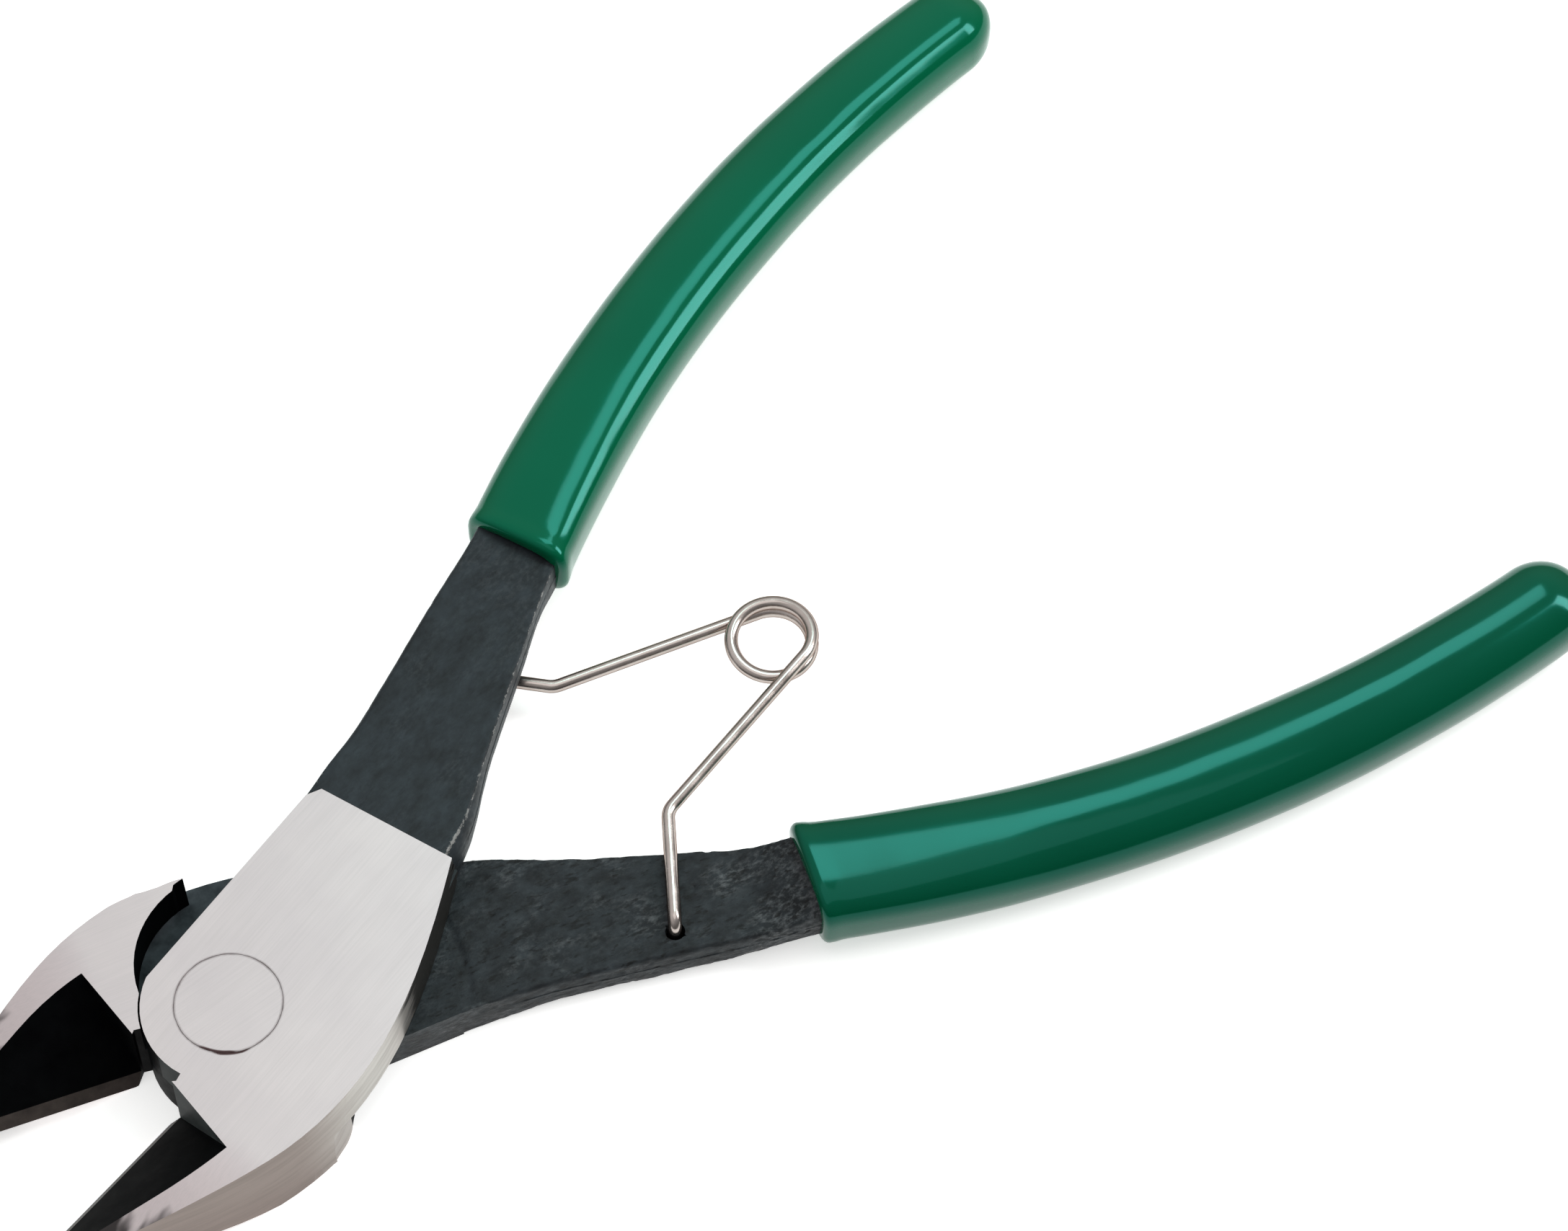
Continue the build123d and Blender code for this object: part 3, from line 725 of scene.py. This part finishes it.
def forged_black_oxide(name, dark, light, roughly, worn_edge):
    """roughly runs from nought, a clean press forging, to one, a hammered and scaled skin."""
    material, tree = new_material(name)
    place = shut_place(tree)
    patch_place = add(tree, "Mapping", {}, {"Vector": place, "Scale": per_mm(SCALE_PATCH_MM)})
    patch = add(tree, "TexNoise", {}, {"Vector": patch_place, "Scale": 1.0, "Detail": 2.0, "Roughness": 0.55})
    cloud_place = add(tree, "Mapping", {}, {"Vector": place, "Scale": per_mm(OXIDE_CLOUD_MM)})
    cloud = add(tree, "TexNoise", {}, {"Vector": cloud_place, "Scale": 1.0, "Detail": 4.0, "Roughness": 0.6})
    flake_place = add(tree, "Mapping", {}, {
        "Vector": place, "Scale": per_mm(SCALE_FLAKE_MM), "Rotation": turned_about_z(SCALE_FLAKE_TURN)})
    flake = add(tree, "TexNoise", {}, {"Vector": flake_place, "Scale": 1.0, "Detail": 5.0, "Roughness": 0.65})
    pit_place = add(tree, "Mapping", {}, {
        "Vector": place, "Scale": per_mm(SCALE_PIT_MM), "Rotation": turned_about_z(SCALE_PIT_TURN)})
    pit = add(tree, "TexNoise", {}, {"Vector": pit_place, "Scale": 1.0, "Detail": 4.0, "Roughness": 0.6})
    faded = add(tree, "ValToRGB", {"greys": [(0.3, 0.0), (0.75, 1.0)]}, {"Fac": cloud})
    tone = add(tree, "Mix", {"data_type": "RGBA"}, {
        "Factor": faded, FIRST_TONE: dark, SECOND_TONE: light})
    along = add(tree, "SeparateXYZ", {}, {"Vector": place})
    handled = add(tree, "MapRange", {"interpolation_type": "SMOOTHSTEP"}, {
        "Value": along.outputs["X"], "From Min": -47.0, "From Max": -56.0, "To Min": 0.0, "To Max": 0.16})
    patchy = add(tree, "Math", {"operation": "ADD"}, {0: patch, 1: handled})
    in_patch = add(tree, "ValToRGB", {"greys": [(0.5, 0.05), (0.7, 1.0)]}, {"Fac": patchy})
    flaked = add(tree, "ValToRGB", {"greys": [(0.45, 0.0), (0.85, 0.1 + roughly * 0.5)]}, {"Fac": flake})
    scaled = add(tree, "Math", {"operation": "MULTIPLY"}, {0: in_patch, 1: flaked})
    tone = add(tree, "Mix", {"data_type": "RGBA"}, {
        "Factor": scaled, FIRST_TONE: tone, SECOND_TONE: "#85888a"})
    pitted = add(tree, "ValToRGB", {"greys": [(0.35, 0.2 + 0.65 * roughly), (0.44, 0.0)]}, {"Fac": pit})
    tone = add(tree, "Mix", {"data_type": "RGBA"}, {
        "Factor": pitted, FIRST_TONE: tone, SECOND_TONE: "#060707"})
    if worn_edge:
        near_edge = add(tree, "Attribute", {"attribute_name": "worn"}, {}).outputs["Fac"]
        rub_place = add(tree, "Mapping", {}, {"Vector": place, "Scale": per_mm(RUBBED_SPOT_MM)})
        rub = add(tree, "TexNoise", {}, {"Vector": rub_place, "Scale": 1.0, "Detail": 4.0, "Roughness": 0.75})
        wear = add(tree, "Math", {"operation": "MULTIPLY_ADD"}, {0: near_edge, 1: 1.2, 2: rub})
        bare = add(tree, "MapRange", {"interpolation_type": "SMOOTHSTEP"}, {
            "Value": wear, "From Min": 1.46, "From Max": 1.62, "To Min": 0.0, "To Max": 0.7})
        tone = add(tree, "Mix", {"data_type": "RGBA"}, {
            "Factor": bare, FIRST_TONE: tone, SECOND_TONE: "#9d9b98"})
    dulled = add(tree, "ValToRGB", {"greys": [(0.3, 0.6), (0.7, 0.4)]}, {"Fac": flake})
    relief = add(tree, "Bump", {}, {
        "Height": flake, "Distance": (0.06 + 0.06 * roughly) * MM, "Strength": 0.2 + 0.6 * roughly})
    steel = add(tree, "BsdfPrincipled", {}, {
        "Base Color": tone, "Roughness": dulled, "Normal": relief, "Specular IOR Level": 0.22})
    add(tree, "OutputMaterial", {}, {"Surface": steel})
    return material


head_finishes = {
    "ground": satin_ground_steel("satin_ground_steel", shut_place),
    "flank": ground_flank_steel(),
    "bevel": blackened_milled_steel("blackened_milled_bevel", "#010102", "#050607", 0.55),
    "honed": blackened_milled_steel("honed_cutting_strip", "#312c2a", "#4e4642", 0.4),
    "end_wall": blackened_milled_steel("blackened_end_wall", "#2c3030", "#4a4f4f", 0.5),
    "lap": blackened_milled_steel("blackened_lap_floor", "#2a2f32", "#50575b", 0.5),
}
smooth_oxide = forged_black_oxide("black_oxide_on_smooth_forging", "#181c1f", "#2a3136", 0.0, True)
rough_oxide = forged_black_oxide("black_oxide_on_rough_forging", "#101315", "#2c3236", 1.0, False)

for lap, lever_name, slot_name, oxide in ((1, "top_lever", "ground_steel", smooth_oxide),
                                          (-1, "bottom_lever", "black_steel", rough_oxide)):
    finishes = {**head_finishes, "oxide": oxide}
    head = add_head(lap, list(finishes))
    shank_obj = drawn(lever_name + "_shank", add_shank(lap), [oxide], turned_open(lap), lap < 0)
    head_obj = drawn(lever_name + "_head", head, finishes.values(), turned_open(lap), lap < 0)
    even = head_obj.modifiers.new("even", "WEIGHTED_NORMAL")
    even.keep_sharp = True
    for piece in (head_obj, shank_obj):
        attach(piece, lever_name)
    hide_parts(lever_name)


# The rivet: a plain steel pin, countersunk at both ends and ground flush with the head, so only a
# fine ring shows. It carries the same satin grind as the face round it.
def rivet_place(tree):
    own = add(tree, "TexCoord", {}, {}).outputs["Object"]
    return add(tree, "VectorMath", {"operation": "SCALE"}, {0: own, "Scale": 1 / MM}).outputs["Vector"]


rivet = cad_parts["pivot_rivet"]
rivet.data.materials.clear()
rivet.data.materials.append(satin_ground_steel("satin_ground_rivet", rivet_place))

# The grips: green soft PVC, made by dipping the tang, so every edge is round and the skin is glossy.
# The front ends in a square lip that stands clear of the steel, and the end is a full dome. The
# section goes from nearly square at the cuff to nearly round, with a soft crease along the top.

# A taper is a loss of half width and the run over which it comes. A bore of the lip is a depth
# behind the front and the wall's thickness there. A wave of the dip is its length and its height.
GRIP_FRONTS = {1: 59.9, -1: 58.9}
GRIP_TAIL = 147.6
GRIP_STEP = 0.6
GRIP_AROUND = 72
GRIP_HALF_WIDTH = 5.95
GRIP_TAPERS = [(0.05, 58, 68), (0.3, 66, 104), (0.5, 104, 147)]
GRIP_HALF_THICK = 4.15
GRIP_THICKER = 0.52
GRIP_THICKER_RUN = (58, 80)
GRIP_DOME = 5.3
DOME_STEPS = 15
DOME_WIDTH_POWER = 0.9
DOME_THICK_POWER = 0.8
GRIP_LIP = 0.7
LIP_STEPS = 5
LIP_BORE = [(2.5, 0.75), (0.5, 0.9), (0.0, 1.15)]
GRIP_SQUARE = {1: 0.74, -1: 0.78}
CUFF_SQUARE = 0.58
CUFF_SQUARE_RUN = (60, 88)
CUFF_SLANT = 0.9
CUFF_SLANT_RUN = 14.0
CUFF_LIFT = 0.25
CUFF_BEAD = 0.16
CUFF_BEAD_WIDE = 0.9
GRIP_CREASE = {1: 0.025, -1: 0.035}
CREASE_RUN = (66, 96)
CREASE_SOFT = 0.002
GRIP_ROLL = {1: 0.4, -1: 0.0}
DIP_WAVES = [(14.0, 0.09), (4.5, 0.02)]


def grip_half_width(u):
    return GRIP_HALF_WIDTH - sum(loss * smooth(start, stop, u) for loss, start, stop in GRIP_TAPERS)


def grip_half_thick(u):
    return GRIP_HALF_THICK + GRIP_THICKER * smooth(*GRIP_THICKER_RUN, u)


def grip_ring(grip, lap, u, half_w, half_t, slant):
    """One section of the grip: flat above and below with round sides, and a soft crease."""
    square = CUFF_SQUARE + (GRIP_SQUARE[lap] - CUFF_SQUARE) * smooth(*CUFF_SQUARE_RUN, u)
    crease = GRIP_CREASE[lap] * smooth(*CREASE_RUN, u)
    lift = CUFF_LIFT * (1 - smooth(*GRIP_THICKER_RUN, u))
    row = []
    for k in range(GRIP_AROUND):
        a = 2 * pi * k / GRIP_AROUND
        across = abs(cos(a)) ** square * (1 if cos(a) > 0 else -1)
        up = abs(sin(a)) ** square * (1 if sin(a) > 0 else -1)
        ridge = 1 + crease * (0.5 - sqrt(across ** 2 + CREASE_SOFT))
        x, y = beside(u - slant * across, half_w * across)
        row.append(grip.verts.new((x, y, half_t * up * ridge + GRIP_ROLL[lap] * across + lift)))
    return row


def add_grip(lap):
    """A swept rounded bar with a dome at its end and a hollow lip at its front."""
    front = GRIP_FRONTS[lap]
    turns = [pi / 2 * k / LIP_STEPS for k in range(LIP_STEPS, -1, -1)]
    stations = [(front + GRIP_LIP * (1 - sin(a)), 1.0, GRIP_LIP * (cos(a) - 1)) for a in turns]
    body = np.arange(front + GRIP_LIP + GRIP_STEP, GRIP_TAIL - GRIP_DOME, GRIP_STEP)
    stations += [(u, 1.0, 0.0) for u in body.tolist()]
    turns = [pi / 2 * k / DOME_STEPS for k in range(DOME_STEPS)]
    stations += [(GRIP_TAIL - GRIP_DOME * (1 - sin(a)), cos(a) ** DOME_WIDTH_POWER, 0.0) for a in turns]
    grip = bmesh.new()
    rows = []
    for depth, gap in LIP_BORE:
        u = front + depth
        rows.append(grip_ring(grip, lap, u, grip_half_width(u) - gap, grip_half_thick(u) - gap, CUFF_SLANT))
    for u, scale, inset in stations:
        bead = CUFF_BEAD * np.exp(-((u - front - CUFF_BEAD_WIDE) / CUFF_BEAD_WIDE) ** 2)
        half_w = grip_half_width(u) * scale + inset + bead
        half_t = grip_half_thick(u) * scale ** DOME_THICK_POWER + inset + bead
        slant = CUFF_SLANT * (1 - smooth(front, front + CUFF_SLANT_RUN, u))
        rows.append(grip_ring(grip, lap, u, half_w, half_t, slant))
    skin(grip, rows)
    for vert in grip.verts:
        vert.co += vert.normal * sum(noise.noise(vert.co / size) * height for size, height in DIP_WAVES)
    return grip


# Dipped vinyl: it cures on the steel as a thick even skin, a deep green with a wet gloss. Runs of
# the dip leave clouds about 16 mm across, and a fine orange peel of 1.4 mm that breaks the light a
# little. Its gloss is teal. The lower grip lies in less light, and its darker copy of the vinyl is
# painted shade.
DIP_CLOUD_MM = 16.0
ORANGE_PEEL_MM = 1.4


def dipped_vinyl(name, dark, light):
    material, tree = new_material(name)
    place = shut_place(tree)
    cloud = add(tree, "TexNoise", {}, {
        "Vector": place, "Scale": 1 / DIP_CLOUD_MM, "Detail": 2.0, "Roughness": 0.55})
    peel = add(tree, "TexNoise", {}, {
        "Vector": place, "Scale": 1 / ORANGE_PEEL_MM, "Detail": 2.0, "Roughness": 0.55})
    tone = add(tree, "Mix", {"data_type": "RGBA"}, {
        "Factor": cloud, FIRST_TONE: dark, SECOND_TONE: light})
    dulled = add(tree, "ValToRGB", {"greys": [(0.3, 0.1), (0.7, 0.16)]}, {"Fac": cloud})
    relief = add(tree, "Bump", {}, {"Height": peel, "Distance": 0.02 * MM, "Strength": 0.12})
    vinyl = add(tree, "BsdfPrincipled", {}, {
        "Base Color": tone, "Roughness": dulled, "Normal": relief, "Specular IOR Level": 0.3,
        "Specular Tint": "#40fff4", "Coat Weight": 0.12, "Coat Roughness": 0.08})
    add(tree, "OutputMaterial", {}, {"Surface": vinyl})
    return material


green_vinyl = dipped_vinyl("dipped_green_vinyl", "#004f31", "#005a3a")
# The bottom grip gets the same vinyl drawn darker: painted shade, for the lesser light it lies in.
shaded_green_vinyl = dipped_vinyl("dipped_green_vinyl_painted_shade", "#003e28", "#004930")
for lap, grip_name, body_name, vinyl in ((1, "top_grip", "top_lever", green_vinyl),
                                         (-1, "bottom_grip", "bottom_lever", shaded_green_vinyl)):
    sleeve = drawn(grip_name + "_sleeve", add_grip(lap), [vinyl], turned_open(lap), lap < 0)
    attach(sleeve, body_name)
    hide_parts(grip_name)

# The return spring: one length of bright drawn music wire, wound about 1.4 times round a pin, with
# its two legs bent down and up at the ends to hook into the levers. It is drawn as one tube, with the
# handles open.
WIRE_R = 0.7
WIRE_STEP = 0.35
WIRE_AROUND = 24
WIRE_END_RUN = 0.25
WIRE_END_R = 0.56
HOOK_REACH = 2.3
LEG_Z = 1.25
LEG_BENDS = {1: (49.3, 10.65), -1: (48.6, 9.35)}
HOOK_BEND_R = 1.2
LEG_BEND_R = 2.2
BEND_STEPS = 10
COIL_U = 70.0
COIL_R = 4.25
COIL_STEPS = 120


def tangent_point(bend):
    """Where a straight leg from its bend touches the coil."""
    dx, dy = -COIL_U - bend[0], -bend[1]
    away = hypot(dx, dy)
    swing = np.arcsin(COIL_R / away)
    heading = atan2(dy, dx) + swing
    run = away * cos(swing)
    return Vector((bend[0] + run * cos(heading), bend[1] + run * sin(heading)))


def bent(points, radii):
    """A run of points along straight legs joined by round bends."""
    path = [Vector(points[0])]
    for before, here, after, radius in zip(points, points[1:], points[2:], radii):
        before, here, after = Vector(before), Vector(here), Vector(after)
        back, on = (before - here).normalized(), (after - here).normalized()
        half = back.angle(on) / 2
        setback = radius / np.tan(half)
        middle = here + (back + on).normalized() * (radius / sin(half))
        arm_in, arm_out = here + back * setback - middle, here + on * setback - middle
        turn = arm_in.angle(arm_out)
        for k in range(BEND_STEPS + 1):
            t = k / BEND_STEPS
            path.append(middle + (arm_in * sin((1 - t) * turn) + arm_out * sin(t * turn)) / sin(turn))
    path.append(Vector(points[-1]))
    return path


def leg_path(lap):
    """One leg from its hook to the coil, and the angle at which it meets the coil."""
    a = radians(OPEN_ANGLE)
    x, y = HOOK_HOLE
    hook = (x * cos(a) - y * sin(a), x * sin(a) + y * cos(a))
    bend = (-LEG_BENDS[lap][0], -LEG_BENDS[lap][1])
    end = tangent_point(bend)
    corners = [(*hook, HOOK_REACH), (*hook, -LEG_Z), (*bend, -LEG_Z), (*end, -LEG_Z)]
    return bent(corners, [HOOK_BEND_R, LEG_BEND_R]), atan2(end.y, end.x + COIL_U)


def spring_path():
    """The whole wire: the top lever's leg, the coil, and the bottom lever's leg. The coil makes two
    turns, less the part of a turn that each leg leaves out where it meets the coil."""
    top_leg, first = leg_path(1)
    low_leg, last = leg_path(-1)
    whole = 4 * pi - abs(first) - abs(last)
    coil = []
    for k in range(1, COIL_STEPS):
        t = k / COIL_STEPS
        a = first - whole * t
        coil.append(Vector((-COIL_U + COIL_R * cos(a), COIL_R * sin(a), -LEG_Z + 2 * LEG_Z * t)))
    return top_leg + coil + [Vector((p.x, -p.y, -p.z)) for p in reversed(low_leg)]


def even_steps(path, step):
    """The same line with its points evenly spaced, and how far along it each one is."""
    runs = np.array([(b - a).length for a, b in zip(path, path[1:])])
    along = np.concatenate(([0.0], np.cumsum(runs)))
    line = np.array([tuple(p) for p in path])
    wanted = np.linspace(0, along[-1], int(along[-1] / step))
    return np.stack([np.interp(wanted, along, line[:, k]) for k in range(3)], 1), wanted


def add_wire():
    """A round tube along the spring's path, with its cut ends rounded a little."""
    line, along = even_steps(spring_path(), WIRE_STEP)
    ahead = np.gradient(line, axis=0)
    ahead /= np.linalg.norm(ahead, axis=1)[:, None]
    wire = bmesh.new()
    side = Vector((1, 0, 0))
    rows = []
    for place, way, run in zip(line, ahead, along):
        way = Vector(way)
        side = (side - way * side.dot(way)).normalized()
        up = way.cross(side)
        from_end = min(run, along[-1] - run, WIRE_END_RUN) / WIRE_END_RUN
        r = WIRE_END_R + (WIRE_R - WIRE_END_R) * sqrt(max(1 - (1 - from_end) ** 2, 0))
        turns = [2 * pi * k / WIRE_AROUND for k in range(WIRE_AROUND)]
        rows.append([wire.verts.new(Vector(place) + side * r * cos(a) + up * r * sin(a)) for a in turns])
    skin(wire, rows)
    return wire


# Bright drawn wire: pulled through a die, so it is mirror-like with fine lines, which are drawn a
# fifth of a millimetre apart, coarser than real ones, so that they show. It looks warm grey, with
# duller clouds of 2.5 mm where the drawing soap has stayed.
DRAW_LINE_MM = (3.0, 3.0, 0.2)
SOAP_CLOUD_MM = 2.5


def bright_drawn_music_wire():
    material, tree = new_material("bright_drawn_music_wire")
    place = shut_place(tree)
    line_place = add(tree, "Mapping", {}, {"Vector": place, "Scale": per_mm(DRAW_LINE_MM)})
    line = add(tree, "TexNoise", {}, {"Vector": line_place, "Scale": 1.0, "Detail": 3.0, "Roughness": 0.55})
    cloud = add(tree, "TexNoise", {}, {
        "Vector": place, "Scale": 1 / SOAP_CLOUD_MM, "Detail": 3.0, "Roughness": 0.55})
    tone = add(tree, "Mix", {"data_type": "RGBA"}, {
        "Factor": cloud, FIRST_TONE: "#a3968f", SECOND_TONE: "#c9c0bb"})
    dulled = add(tree, "ValToRGB", {"greys": [(0.3, 0.16), (0.7, 0.28)]}, {"Fac": cloud})
    relief = add(tree, "Bump", {}, {"Height": line, "Distance": 0.004 * MM, "Strength": 0.3})
    steel = add(tree, "BsdfPrincipled", {}, {
        "Base Color": tone, "Metallic": 1.0, "Roughness": dulled, "Normal": relief,
        "Specular Tint": "#7a5a50"})
    add(tree, "OutputMaterial", {}, {"Surface": steel})
    return material


lifted = Matrix.Scale(MM, 4) @ Matrix.Translation((0, 0, HALF_HEAD))
spring = drawn("return_spring", add_wire(), [bright_drawn_music_wire()], lifted, False)
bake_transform(spring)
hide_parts("spring_top_leg", "spring_bottom_leg", "spring_coil")
